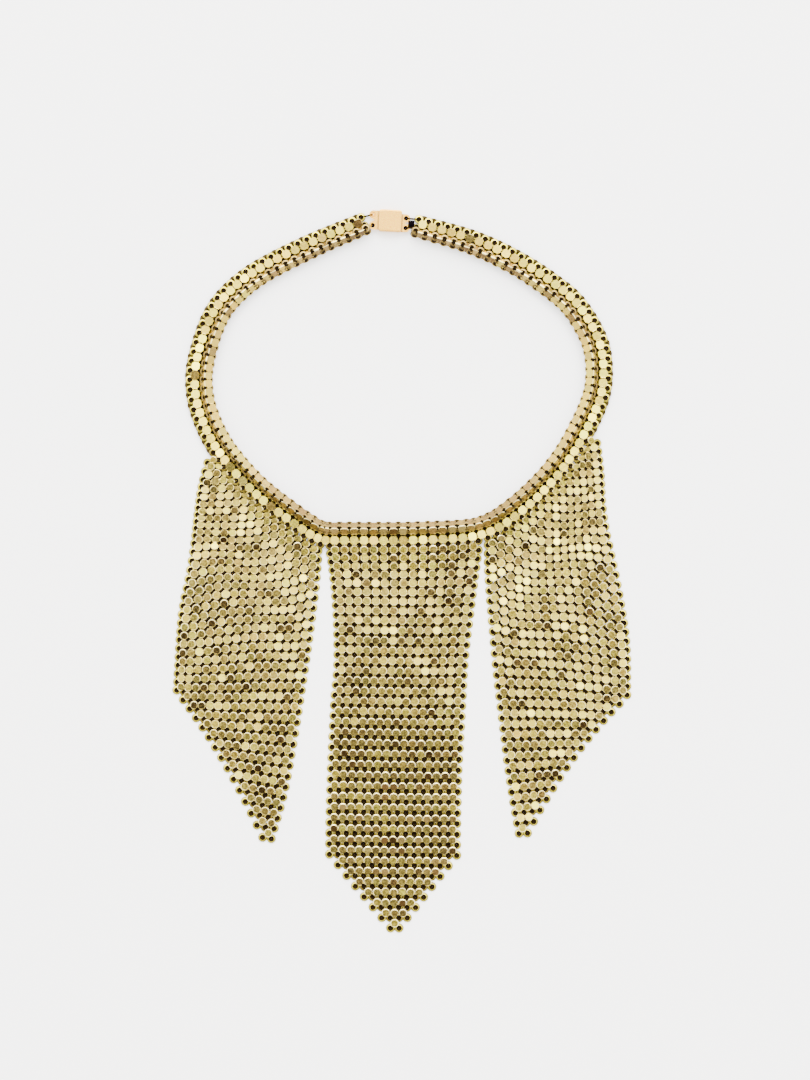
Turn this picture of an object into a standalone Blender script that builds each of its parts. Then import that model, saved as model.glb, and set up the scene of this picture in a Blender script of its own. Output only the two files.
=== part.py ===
"""Bib necklace of ring-and-plate metal mesh, lying flat with its clasp closed.

A neck band, folded double along the neck edge, carries a centre panel and two side panels.
Across is +X, up towards the clasp is +Y, and the undersides lie on z = 0.
"""
import math

import bmesh
import bpy
from mathutils import Matrix, Vector

# Mesh
PLATE_PITCH = 0.0035         # from one ring of the mesh to the next
MESH_THICKNESS = 0.0010      # ring and plate together
PLATE_CROWN = 0.0003         # a plate's middle above its corners
EDGE_RING_REACH = 0.0009     # free edges run this far past the edge rings' centres
LAYER_GAP = 0.0003           # between the band's two layers
SEAM_GAP = 0.0003            # between pieces that the rings join

# Plate counts
COLUMNS = 15                 # across each panel
SIDE_ROWS = 29               # plates in each column of a side panel
CENTRE_ROWS = 31             # full rows of the centre panel, before its point
SLIT_PLATES = 1              # band plates that span the slit between two panels
LEFT_STRAP_PLATES = 34       # band plates from the clasp to the left panel
RIGHT_STRAP_PLATES = 33      # band plates from the right panel to the clasp

# Clasp
BOX_LENGTH = 0.0085
BOX_WIDTH = 0.0080
BOX_HEIGHT = 0.0032
BOX_WALL = 0.0005
BOX_CORNER_ROUND = 0.0009
BOX_RIM_ROUND = 0.0004
TONGUE_LENGTH = 0.0062       # inside the box
TONGUE_THICKNESS = 0.0006
SPRING_LENGTH = 0.0050
SPRING_WIDTH = 0.0052
SPRING_THICKNESS = 0.0004
TONGUE_CLEARANCE = 0.0003
LUG_THICKNESS = 0.0007
LUG_STRIP = 0.0010           # plain strip beside the lug rings
LUG_RING_RADIUS = 0.0015
LUG_HOLE_RADIUS = 0.00085
LUG_WRAP = 0.85              # how far a lug ring's rim runs on past its side, in quarter turns
BOX_LUG_REACH = 0.00155      # lug ring middles from the box's end
TONGUE_LUG_REACH = 0.0018
BOX_LUG_SPREAD = 0.00180     # lug ring middles from the middle of the lug
TONGUE_LUG_SPREAD = 0.0020
BOX_LUG_DROP = 0.0006        # the box's lug sits this much below the box's middle line
LINK_WIRE = 0.00045
LINK_HEIGHT = 0.0022         # between wire middles
LINK_PLAY = 0.0003
END_RING_RADIUS = 0.00115    # the band's last rings, to the middle of the wire
END_RING_WIRE = 0.0005
CLASP_TURN = math.radians(-3.0)
CLASP_RISE = 0.0006          # above the middle of the band's end rings

ROUND_SEGMENTS = 16
WIRE_SEGMENTS = 6
LINK_SEGMENTS = 6            # round each end of a link
SMOOTH_ANGLE = math.radians(40)

# Middle of the necklace's outline, across and up in plate pitches as the route below has them
OUTLINE_MIDDLE = (0.019, -0.090)

# The band's outer ring line, from the clasp's left side round the front to its right side:
# plates counted from the clasp, then across and up in plate pitches
COLLAR_ROUTE = [
    (0, -4.26, 36.95), (6, -9.95, 34.63), (12, -15.53, 31.79), (16, -18.68, 29.26), (19, -20.47, 26.74),
    (23, -21.84, 22.84), (26, -22.26, 19.89), (29, -21.84, 16.74), (33, -20.26, 13.05), (37, -18.07, 10.03),
    (41, -15.21, 7.12), (45, -11.99, 4.68), (47, -10.28, 3.51), (49, -8.53, 2.60), (51, -6.52, 2.53),
    (57.5, 0.20, 2.53), (63, 5.95, 2.74), (65, 8.07, 2.99), (67, 10.04, 3.71), (69, 11.80, 4.80),
    (73, 15.02, 7.54), (77, 17.78, 10.81), (81, 19.84, 14.32), (85, 21.42, 18.00), (88, 21.74, 21.05),
    (91, 21.21, 24.21), (95, 19.11, 27.89), (98, 16.89, 30.00), (103, 12.58, 32.84), (108, 7.84, 35.05),
    (114, 1.84, 36.74),
]

# How the band's three upper rows lie: share of the way round, then the run on the surface of the
# flat outer row, the climbing middle row and the falling inner row, in plate pitches
BAND_ROWS = [
    (0.00, 0.90, 0.44, 0.64), (0.10, 0.93, 0.46, 0.70), (0.21, 0.98, 0.48, 0.88), (0.35, 0.98, 0.50, 0.84),
    (0.43, 0.98, 0.76, 0.71), (0.58, 0.98, 0.76, 0.71), (0.66, 0.98, 0.50, 0.84), (0.79, 0.98, 0.48, 0.88),
    (0.90, 0.93, 0.46, 0.70), (1.00, 0.90, 0.44, 0.64),
]
FOLD_REACH = 0.0009          # the fold at the neck edge past the inner row
FOLD_WALL = 0.0008
HEM_UNDER_STRAP = -0.10      # outer edge of the hem from the ring line, in plate pitches
HEM_UNDER_BIB = 0.30
RIDGE_MITRE = 1.15           # the ridge is no sharper than this times the mesh's thickness

# How a panel's first and last columns run: share of the rows, then the step sideways and down
# from one plate to the next, in plate pitches
LEFT_OUTER_RUN = [
    (0.05, -0.245, 0.755), (0.17, -0.130, 0.763), (0.33, -0.063, 0.779), (0.47, -0.140, 1.000),
    (0.59, -0.210, 0.987), (0.73, -0.063, 0.934), (0.88, -0.076, 0.867),
]
LEFT_INNER_RUN = [
    (0.03, -0.050, 1.030), (0.17, -0.130, 1.044), (0.38, -0.160, 1.035), (0.57, -0.180, 1.120),
    (0.75, -0.190, 1.074), (0.90, -0.290, 1.066),
]
RIGHT_OUTER_RUN = [
    (0.05, 0.144, 0.814), (0.24, 0.042, 0.853), (0.43, 0.218, 1.028), (0.58, 0.193, 1.054),
    (0.74, 0.126, 0.976), (0.88, 0.008, 0.926),
]
RIGHT_INNER_RUN = [
    (0.05, 0.010, 1.028), (0.17, 0.082, 1.050), (0.34, 0.093, 1.051), (0.53, 0.133, 1.074),
    (0.70, 0.126, 1.095), (0.88, 0.194, 1.116),
]
CENTRE_LEFT_RUN = [
    (0.04, 0.116, 0.877), (0.13, 0.079, 0.947), (0.22, 0.035, 1.050), (0.30, 0.000, 1.107),
    (0.38, -0.116, 1.060), (0.43, -0.045, 1.080), (0.63, -0.038, 1.127), (0.90, 0.015, 1.089),
]
CENTRE_RIGHT_RUN = [
    (0.04, -0.120, 0.920), (0.13, -0.130, 0.990), (0.22, -0.120, 1.092), (0.30, -0.090, 1.107),
    (0.38, -0.030, 1.060), (0.43, -0.045, 1.080), (0.55, -0.050, 1.127), (0.90, 0.020, 1.089),
]
FIRST_ROW_DROP = 0.45        # middles of the first plates below the ring line, in plate pitches
LOWER_EDGE_BOW = 0.60        # rise of a side panel's lower edge at its middle, in plate pitches
ROW_LIFTS = (1.0, 0.55, 0.2)  # the first rows hang down from the band's upper layer to the surface

MESH_GOLD = ((0.74, 0.61, 0.33), 0.28)
CLASP_GOLD = ((0.86, 0.68, 0.43), 0.32)
LINK_GOLD = ((0.80, 0.66, 0.40), 0.25)

TAPER_ROWS = COLUMNS // 2
CENTRE_PANEL_START = LEFT_STRAP_PLATES + COLUMNS + SLIT_PLATES
RIGHT_PANEL_START = CENTRE_PANEL_START + COLUMNS + SLIT_PLATES
RIGHT_PANEL_END = RIGHT_PANEL_START + COLUMNS
BAND_PLATES = RIGHT_PANEL_END + RIGHT_STRAP_PLATES
UPPER_LAYER_Z = MESH_THICKNESS + LAYER_GAP


def clear_scene():
    for thing in list(bpy.data.objects):
        bpy.data.objects.remove(thing, do_unlink=True)


def make_collection(name):
    collection = bpy.data.collections.new(name)
    bpy.context.scene.collection.children.link(collection)
    return collection


def make_material(name, finish):
    colour, roughness = finish
    material = bpy.data.materials.new(name)
    material.use_nodes = True
    shader = material.node_tree.nodes["Principled BSDF"]
    shader.inputs["Base Color"].default_value = (*colour, 1.0)
    shader.inputs["Roughness"].default_value = roughness
    shader.inputs["Metallic"].default_value = 1.0
    return material


def mesh_object(name, bm, collection, finish=None):
    bmesh.ops.recalc_face_normals(bm, faces=bm.faces)
    mesh = bpy.data.meshes.new(name)
    bm.to_mesh(mesh)
    bm.free()
    thing = bpy.data.objects.new(name, mesh)
    collection.objects.link(thing)
    if finish:
        mesh.materials.append(make_material(name + "_metal", finish))
    else:
        thing.hide_render = True
        thing.display_type = "WIRE"
    return thing


def combine(thing, tool, operation):
    """Boolean that joins the tool to the thing or cuts it away."""
    step = thing.modifiers.new(tool.name, "BOOLEAN")
    step.operation = operation
    step.solver = "EXACT"
    step.object = tool


def round_shading(thing):
    thing.data.shade_smooth()
    thing.data.set_sharp_from_angle(angle=SMOOTH_ANGLE)
    return thing


def table_at(table, share):
    """Straight-line reading of a table whose first column is a share."""
    if share <= table[0][0]:
        return table[0][1:]
    for low, high in zip(table, table[1:]):
        if share <= high[0]:
            part = (share - low[0]) / (high[0] - low[0])
            return tuple(a + (b - a) * part for a, b in zip(low[1:], high[1:]))
    return table[-1][1:]


def route_slope(index):
    """Change of the route from plate to plate at one of its points."""
    before = COLLAR_ROUTE[max(index - 1, 0)]
    after = COLLAR_ROUTE[min(index + 1, len(COLLAR_ROUTE) - 1)]
    return (Vector(after[1:]) - Vector(before[1:])) / (after[0] - before[0])


def ring_line(plates):
    """Place on the outer ring line and its heading, after a number of plates from the clasp."""
    station = plates * COLLAR_ROUTE[-1][0] / BAND_PLATES
    index = 0
    while index < len(COLLAR_ROUTE) - 2 and COLLAR_ROUTE[index + 1][0] < station:
        index += 1
    low, high = COLLAR_ROUTE[index], COLLAR_ROUTE[index + 1]
    span = high[0] - low[0]
    t = (station - low[0]) / span
    start, end = Vector(low[1:]), Vector(high[1:])
    leave, arrive = route_slope(index) * span, route_slope(index + 1) * span
    place = (start * (2 * t**3 - 3 * t**2 + 1) + leave * (t**3 - 2 * t**2 + t)
             + end * (3 * t**2 - 2 * t**3) + arrive * (t**3 - t**2))
    heading = (start * (6 * t**2 - 6 * t) + leave * (3 * t**2 - 4 * t + 1)
               + end * (6 * t - 6 * t**2) + arrive * (3 * t**2 - 2 * t))
    return (place - Vector(OUTLINE_MIDDLE)) * PLATE_PITCH, heading.normalized()


def band_place(plates, inward):
    """Place beside the ring line: inward is towards the neck, in metres."""
    place, heading = ring_line(plates)
    return place + Vector((-heading.y, heading.x)) * inward


def column_places(start, run, rows):
    """Plate middles down a column, from its first plate on."""
    places = [start.copy()]
    for row in range(1, rows + 1):
        sideways, down = table_at(run, (row - 0.5) / rows)
        places.append(places[-1] + Vector((sideways, -down)) * PLATE_PITCH)
    return places


def between_rows(places, row):
    """Place at any row, past the ends as well."""
    low = min(max(math.floor(row), 0), len(places) - 2)
    return places[low].lerp(places[low + 1], row - low)


class Panel:
    """How one panel lies. Column 0 is the one that first_run tells of, and row 1 hangs from the band.

    In a sheared panel each column starts one row lower than the column before it, so that its
    upper edge is a stair along the band, and rows are counted down each column.
    """

    def __init__(self, station, first_run, last_run, rows, sheared):
        self.station = station
        self.rows = rows
        self.sheared = sheared
        self.bow = LOWER_EDGE_BOW * PLATE_PITCH if sheared else 0.0
        self.first = column_places(self.hung(0), first_run, rows)
        self.last = column_places(self.hung(COLUMNS - 1), last_run, rows)

    def hung(self, column):
        """Middle of a column's first plate, just below the ring line."""
        shift = 0.5 if self.sheared else 0.0
        return band_place(self.station(column + shift), -FIRST_ROW_DROP * PLATE_PITCH)

    def place(self, column, row):
        """Any place on the sheet."""
        share = column / (COLUMNS - 1)
        sheet = between_rows(self.first, row - 1).lerp(between_rows(self.last, row - 1), share)
        if not 0 < share < 1:
            return sheet
        depth = (row - 1) / (self.rows - 1)
        chord = self.hung(0).lerp(self.hung(COLUMNS - 1), share)
        hollow = (self.hung(column) - chord) * max(1 - depth, 0)
        return sheet + hollow + Vector((0, self.bow * 4 * share * (1 - share) * max(depth, 0)))

    def node(self, column, row):
        """Ring of the grid at a plate's corner, and how many rows it lies below the band."""
        top_row = 0.5
        steps = row - column if self.sheared else row - top_row
        if steps <= 0 or row <= top_row:
            return band_place(self.station(column), -SEAM_GAP / 2), 0
        return self.place(column, steps if self.sheared else row), round(steps)


def left_station(column):
    return LEFT_STRAP_PLATES + 0.5 + column


def centre_station(column):
    return CENTRE_PANEL_START + 0.5 + column


def right_station(column):
    return RIGHT_PANEL_END - 0.5 - column


def side_cells():
    """Plates of a side panel, as column and row of the mesh's own grid."""
    return [(column, column + row) for column in range(COLUMNS) for row in range(1, SIDE_ROWS + 1)]


def centre_cells():
    """Plates of the centre panel: full rows, then rows that lose a plate at each end."""
    cells = []
    for row in range(1, CENTRE_ROWS + TAPER_ROWS + 1):
        lost = max(row - CENTRE_ROWS, 0)
        for column in range(lost, COLUMNS - lost):
            cells.append((column, row))
    return cells


def reach_past_edge_rings(bm, seam):
    """Moves the free edges out over the edge rings; the seam along the band stays."""
    moves = {}
    for edge in bm.edges:
        if not edge.is_boundary:
            continue
        ends = [vert.co.xy for vert in edge.verts]
        along = (ends[1] - ends[0]).normalized()
        outward = Vector((along.y, -along.x))
        inner = edge.link_faces[0].calc_center_median().xy
        if outward.dot(inner - ends[0]) > 0:
            outward.negate()
        for vert in edge.verts:
            moves.setdefault(vert, []).append(outward)
    for vert, sides in moves.items():
        if vert not in seam:
            outward = (sides[0] + sides[1]).normalized() * EDGE_RING_REACH
            vert.co += outward.to_3d()


def panel_sheet(name, panel, cells, collection):
    """Closed sheet with a crowned facet for each plate of the mesh."""
    bm = bmesh.new()
    nodes = {}
    seam = set()

    def node(column, row):
        if (column, row) not in nodes:
            flat, steps = panel.node(column, row)
            lift = ROW_LIFTS[steps] if steps < len(ROW_LIFTS) else 0.0
            vert = bm.verts.new((flat.x, flat.y, lift * UPPER_LAYER_Z + MESH_THICKNESS))
            nodes[column, row] = vert
            if steps == 0:
                seam.add(vert)
        return nodes[column, row]

    for column, row in cells:
        corners = [(-0.5, 0.5), (0.5, 0.5), (0.5, -0.5), (-0.5, -0.5)]
        bm.faces.new([node(column + across, row + down) for across, down in corners])
    plates = bm.faces[:]
    if panel.sheared:
        for column in range(1, COLUMNS):
            stair = column - 0.5
            bm.faces.new((node(stair, stair + 1), node(stair + 1, stair + 1), node(stair, stair)))
    bmesh.ops.recalc_face_normals(bm, faces=bm.faces)
    reach_past_edge_rings(bm, seam)
    underside = bmesh.ops.extrude_face_region(bm, geom=bm.faces[:], use_keep_orig=True)
    sunk = [part for part in underside["geom"] if isinstance(part, bmesh.types.BMVert)]
    bmesh.ops.translate(bm, vec=(0, 0, -MESH_THICKNESS), verts=sunk)
    bmesh.ops.recalc_face_normals(bm, faces=bm.faces)
    bmesh.ops.poke(bm, faces=plates, offset=PLATE_CROWN)
    return mesh_object(name, bm, collection, MESH_GOLD)


def offset_line(line, distance):
    """Line moved sideways, with its corners mitred up to a limit."""
    sides = []
    for low, high in zip(line, line[1:]):
        along = (high - low).normalized()
        sides.append(Vector((-along.y, along.x)))
    moved = [line[0] + sides[0] * distance]
    for point, before, after in zip(line[1:], sides, sides[1:]):
        mitre = (before + after) / (1 + before.dot(after))
        if mitre.length > RIDGE_MITRE:
            mitre = mitre.normalized() * RIDGE_MITRE
        moved.append(point + mitre * distance)
    moved.append(line[-1] + sides[-1] * distance)
    return moved


def band_section(plates):
    """Section of the folded band, as inward and up: upper rows, fold at the neck edge, hem below."""
    on_bib = LEFT_STRAP_PLATES <= plates <= RIGHT_PANEL_END
    flat, middle, inner = (run * PLATE_PITCH for run in table_at(BAND_ROWS, plates / BAND_PLATES))
    climb = math.sqrt(PLATE_PITCH**2 - middle**2)
    fall = math.sqrt(PLATE_PITCH**2 - inner**2)
    outer_edge = SEAM_GAP / 2 if on_bib else -EDGE_RING_REACH
    hem_edge = (HEM_UNDER_BIB if on_bib else HEM_UNDER_STRAP) * PLATE_PITCH
    neck_edge = flat + middle + inner
    below = [
        Vector((outer_edge, UPPER_LAYER_Z)),
        Vector((flat, UPPER_LAYER_Z)),
        Vector((flat + middle, UPPER_LAYER_Z + climb)),
        Vector((neck_edge, UPPER_LAYER_Z + climb - fall)),
    ]
    above = offset_line(below, MESH_THICKNESS)
    fold_z = above[-1].y / 2
    hollow_end = below[3].lerp(below[2], FOLD_WALL / inner)
    return (
        [below[0]] + above
        + [Vector((neck_edge + FOLD_REACH, fold_z)), Vector((neck_edge + LAYER_GAP, 0.0))]
        + [Vector((hem_edge, 0.0)), Vector((hem_edge, MESH_THICKNESS))]
        + [Vector((hollow_end.x, MESH_THICKNESS)), hollow_end]
        + [below[2], below[1]]
    )


def band_half(name, stations, collection):
    """Loft of the band's section along the ring line."""
    bm = bmesh.new()
    loops = []
    for plates in stations:
        loop = []
        for inward, up in band_section(plates):
            flat = band_place(plates, inward)
            loop.append(bm.verts.new((flat.x, flat.y, up)))
        loops.append(loop)
    rows_above = []
    for here, there in zip(loops, loops[1:]):
        for index in range(len(here)):
            after = (index + 1) % len(here)
            face = bm.faces.new((here[index], here[after], there[after], there[index]))
            if index in (1, 2, 3):
                rows_above.append(face)
    bm.faces.new(loops[0])
    bm.faces.new(loops[-1])
    bmesh.ops.recalc_face_normals(bm, faces=bm.faces)
    bmesh.ops.poke(bm, faces=rows_above, offset=PLATE_CROWN)
    return mesh_object(name, bm, collection, MESH_GOLD)


def end_ring_places(plates):
    """Middles of the band's two last rings, at each side of its outer row."""
    flat = table_at(BAND_ROWS, plates / BAND_PLATES)[0] * PLATE_PITCH
    return [band_place(plates, 0.0), band_place(plates, flat)]


def wire_ring(name, centre, radius, wire, collection):
    """Round ring of wire lying level."""
    bm = bmesh.new()
    profile = bmesh.ops.create_circle(bm, segments=WIRE_SEGMENTS, radius=wire / 2)["verts"]
    bmesh.ops.rotate(bm, verts=profile, matrix=Matrix.Rotation(math.pi / 2, 3, "X"))
    bmesh.ops.translate(bm, verts=profile, vec=(radius, 0, 0))
    bmesh.ops.spin(bm, geom=bm.verts[:] + bm.edges[:], cent=(0, 0, 0), axis=(0, 0, 1),
                   angle=2 * math.pi, steps=ROUND_SEGMENTS, use_merge=True)
    bmesh.ops.remove_doubles(bm, verts=bm.verts, dist=0.00001)
    bmesh.ops.translate(bm, verts=bm.verts, vec=centre)
    return round_shading(mesh_object(name, bm, collection))


def neck_band(parts, tools):
    """The band's two halves, each with the two open rings at its end by the clasp."""
    shortened = END_RING_RADIUS / PLATE_PITCH
    middle = BAND_PLATES // 2
    half_seam = SEAM_GAP / 2 / PLATE_PITCH
    left = [shortened] + list(range(1, middle)) + [middle - half_seam]
    right = [middle + half_seam] + list(range(middle + 1, BAND_PLATES)) + [BAND_PLATES - shortened]
    level = UPPER_LAYER_Z + MESH_THICKNESS / 2
    ends = []
    for side, stations, end in (("left", left, 0), ("right", right, BAND_PLATES)):
        band = band_half("neck_band_" + side, stations, parts)
        places = [Vector((place.x, place.y, level)) for place in end_ring_places(end)]
        for row, place in zip(("upper", "lower"), places):
            ring = wire_ring(f"end_ring_{side}_{row}", place, END_RING_RADIUS, END_RING_WIRE, tools)
            combine(band, ring, "UNION")
        ends.append(places)
    return ends


def circle_points(centre, radius, start=0.0, sweep=2 * math.pi, steps=ROUND_SEGMENTS):
    """Points round a circle, or along an arc that includes both its ends."""
    count = steps if sweep >= 2 * math.pi else steps + 1
    return [centre + Vector((math.cos(start + sweep * step / steps), math.sin(start + sweep * step / steps)))
            * radius for step in range(count)]


def flat_plate(name, outlines, thickness, centre_z, collection, finish=None):
    """Plate cut to a flat outline, with any further outlines as holes."""
    curve = bpy.data.curves.new(name, "CURVE")
    curve.dimensions = "2D"
    curve.fill_mode = "BOTH"
    curve.extrude = thickness / 2
    for outline in outlines:
        spline = curve.splines.new("POLY")
        spline.points.add(len(outline) - 1)
        for point, place in zip(spline.points, outline):
            point.co = (place.x, place.y, 0.0, 1.0)
        spline.use_cyclic_u = True
    drawn = bpy.data.objects.new(name + "_outline", curve)
    collection.objects.link(drawn)
    graph = bpy.context.evaluated_depsgraph_get()
    mesh = bpy.data.meshes.new_from_object(drawn.evaluated_get(graph))
    bpy.data.objects.remove(drawn, do_unlink=True)
    bm = bmesh.new()
    bm.from_mesh(mesh)
    bpy.data.meshes.remove(mesh)
    bmesh.ops.remove_doubles(bm, verts=bm.verts, dist=0.00001)
    bmesh.ops.translate(bm, verts=bm.verts, vec=(0, 0, centre_z))
    return round_shading(mesh_object(name, bm, collection, finish))


def lug_edge(reach, spread):
    """Outline of two lug rings side by side, facing +X, from the lower side to the upper."""
    lower, upper = Vector((reach, -spread)), Vector((reach, spread))
    quarter = math.pi / 2
    steps = ROUND_SEGMENTS // 2
    sweep = (1 + LUG_WRAP) * quarter
    edge = circle_points(lower, LUG_RING_RADIUS, -quarter, sweep, steps)
    edge += [Vector((LUG_STRIP, 0.0))]
    edge += circle_points(upper, LUG_RING_RADIUS, -LUG_WRAP * quarter, sweep, steps)
    return edge


def lug_holes(reach, spread):
    return [Vector((reach, side * spread)) for side in (1, -1)]


def block(name, low, high, collection, finish=None):
    """Box between two corners."""
    bm = bmesh.new()
    bmesh.ops.create_cube(bm, size=1.0)
    size = Vector(high) - Vector(low)
    bmesh.ops.scale(bm, vec=size, verts=bm.verts)
    bmesh.ops.translate(bm, vec=(Vector(low) + Vector(high)) / 2, verts=bm.verts)
    return mesh_object(name, bm, collection, finish)


def clasp_box(parts, tools):
    """Hollow box, open at its left end, with two rings soldered to its right end."""
    bm = bmesh.new()
    bmesh.ops.create_cube(bm, size=1.0)
    bmesh.ops.scale(bm, vec=(BOX_LENGTH, BOX_WIDTH, BOX_HEIGHT), verts=bm.verts)
    bmesh.ops.translate(bm, vec=(0, 0, BOX_HEIGHT / 2), verts=bm.verts)
    upright = [edge for edge in bm.edges if abs(edge.verts[0].co.z - edge.verts[1].co.z) > BOX_HEIGHT / 2]
    bmesh.ops.bevel(bm, geom=upright, offset=BOX_CORNER_ROUND, segments=3, profile=0.5, affect="EDGES")
    rims = [edge for edge in bm.edges if abs(edge.verts[0].co.z - edge.verts[1].co.z) < BOX_RIM_ROUND]
    bmesh.ops.bevel(bm, geom=rims, offset=BOX_RIM_ROUND, segments=2, profile=0.5, affect="EDGES")
    box = round_shading(mesh_object("clasp_box", bm, parts, CLASP_GOLD))
    side = BOX_WIDTH / 2 - BOX_WALL
    low = (-BOX_LENGTH, -side, BOX_WALL)
    high = (BOX_LENGTH / 2 - BOX_WALL, side, BOX_HEIGHT - BOX_WALL)
    combine(box, block("box_hollow", low, high, tools), "DIFFERENCE")
    edge = lug_edge(BOX_LUG_REACH, BOX_LUG_SPREAD)
    foot = -BOX_WALL / 2
    outline = [Vector((foot, edge[0].y)), *edge, Vector((foot, edge[-1].y))]
    holes = [circle_points(hole, LUG_HOLE_RADIUS) for hole in lug_holes(BOX_LUG_REACH, BOX_LUG_SPREAD)]
    seat = Vector((BOX_LENGTH / 2, -BOX_LUG_DROP))
    outlines = [[point + seat for point in line] for line in [outline, *holes]]
    combine(box, flat_plate("box_lug", outlines, LUG_THICKNESS, BOX_HEIGHT / 2, tools), "UNION")
    return box


def clasp_tongue(parts, tools):
    """Blade in the box with a spring leaf on it, and a two-ringed end plate outside."""
    edge = lug_edge(TONGUE_LUG_REACH, TONGUE_LUG_SPREAD)
    half_blade = BOX_WIDTH / 2 - BOX_WALL - TONGUE_CLEARANCE
    foot = -TONGUE_CLEARANCE
    blade = [Vector((foot, edge[-1].y)), Vector((foot, half_blade)), Vector((foot - TONGUE_LENGTH, half_blade)),
             Vector((foot - TONGUE_LENGTH, -half_blade)), Vector((foot, -half_blade)), Vector((foot, edge[0].y))]
    holes = [circle_points(hole, LUG_HOLE_RADIUS) for hole in lug_holes(TONGUE_LUG_REACH, TONGUE_LUG_SPREAD)]
    seat = Vector((-BOX_LENGTH / 2 - TONGUE_CLEARANCE, 0.0))
    outlines = [[seat + Vector((-point.x, point.y)) for point in line] for line in [edge + blade, *holes]]
    tongue = flat_plate("clasp_tongue", outlines, TONGUE_THICKNESS, BOX_HEIGHT / 2, parts, CLASP_GOLD)
    inner_end = seat.x - foot + TONGUE_LENGTH
    room = BOX_HEIGHT / 2 - BOX_WALL - TONGUE_CLEARANCE - SPRING_THICKNESS
    half_leaf = SPRING_WIDTH / 2
    leaf = block("spring_leaf", (-SPRING_LENGTH, -half_leaf, 0.0), (0.0, half_leaf, SPRING_THICKNESS), tools)
    tilt = Matrix.Rotation(math.atan2(room, SPRING_LENGTH), 4, "Y")
    seat_of_leaf = Matrix.Translation((inner_end - SPRING_THICKNESS, 0.0, BOX_HEIGHT / 2))
    leaf.data.transform(seat_of_leaf @ tilt)
    combine(tongue, leaf, "UNION")
    return tongue


def oval_link(name, start, end, collection):
    """Oval wire link standing upright between two holes."""
    along = (end - start).normalized()
    radius = LINK_HEIGHT / 2
    points = []
    for centre, turn in ((end - along * radius, -math.pi / 2), (start + along * radius, math.pi / 2)):
        for step in range(LINK_SEGMENTS + 1):
            angle = turn + math.pi * step / LINK_SEGMENTS
            points.append(centre + along * (radius * math.cos(angle)) + Vector((0, 0, radius * math.sin(angle))))
    curve = bpy.data.curves.new(name, "CURVE")
    curve.dimensions = "3D"
    curve.bevel_depth = LINK_WIRE / 2
    curve.bevel_resolution = 1
    spline = curve.splines.new("POLY")
    spline.points.add(len(points) - 1)
    for point, place in zip(spline.points, points):
        point.co = (*place, 1.0)
    spline.use_cyclic_u = True
    curve.materials.append(make_material(name + "_metal", LINK_GOLD))
    thing = bpy.data.objects.new(name, curve)
    collection.objects.link(thing)
    return thing


def clasp_and_links(parts, tools, ends):
    """Clasp between the band's ends, and the four links that hold it."""
    corners = [place for places in ends for place in places]
    middle = sum(corners, Vector()) / len(corners)
    seat = Matrix.Translation((middle.x, middle.y + CLASP_RISE, 0.0)) @ Matrix.Rotation(CLASP_TURN, 4, "Z")
    for piece in (clasp_box(parts, tools), clasp_tongue(parts, tools)):
        for step in piece.modifiers:
            step.object.matrix_world = seat
        piece.matrix_world = seat
    hole_z = BOX_HEIGHT / 2
    tongue_holes = [Vector((-BOX_LENGTH / 2 - TONGUE_CLEARANCE - TONGUE_LUG_REACH, side * TONGUE_LUG_SPREAD, hole_z))
                    for side in (1, -1)]
    box_holes = [Vector((BOX_LENGTH / 2 + BOX_LUG_REACH, side * BOX_LUG_SPREAD - BOX_LUG_DROP, hole_z))
                 for side in (1, -1)]
    lug_slack = LUG_HOLE_RADIUS - LINK_WIRE / 2 - LINK_PLAY
    ring_slack = END_RING_RADIUS - END_RING_WIRE / 2 - LINK_WIRE / 2 - LINK_PLAY
    for side, rings, holes in (("left", ends[0], tongue_holes), ("right", ends[1], box_holes)):
        for row, ring, hole in zip(("upper", "lower"), rings, holes):
            hole = seat @ hole
            level = (ring.z + hole.z) / 2
            start, end = Vector((ring.x, ring.y, level)), Vector((hole.x, hole.y, level))
            along = (end - start).normalized()
            oval_link(f"link_{side}_{row}", start + along * ring_slack, end - along * lug_slack, parts)


def main():
    clear_scene()
    parts = make_collection("bib_necklace")
    tools = make_collection("cutters")
    left = Panel(left_station, LEFT_OUTER_RUN, LEFT_INNER_RUN, SIDE_ROWS, True)
    right = Panel(right_station, RIGHT_OUTER_RUN, RIGHT_INNER_RUN, SIDE_ROWS, True)
    centre = Panel(centre_station, CENTRE_LEFT_RUN, CENTRE_RIGHT_RUN, CENTRE_ROWS + TAPER_ROWS, False)
    panel_sheet("panel_left", left, side_cells(), parts)
    panel_sheet("panel_centre", centre, centre_cells(), parts)
    panel_sheet("panel_right", right, side_cells(), parts)
    clasp_and_links(parts, tools, neck_band(parts, tools))


main()
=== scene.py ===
"""Looks of the mesh bib necklace: every ring and plate of its metal mesh, its clasp and its links.

The mesh pieces stand for the part's plain sheets. The tables and the rules that lay the sheets out are
repeated from the part's source, in the same frame, and the settling tables then move the rows a little.
"""

import math
import random

import bmesh
import bpy
from mathutils import Euler, Matrix, Vector, noise


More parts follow.
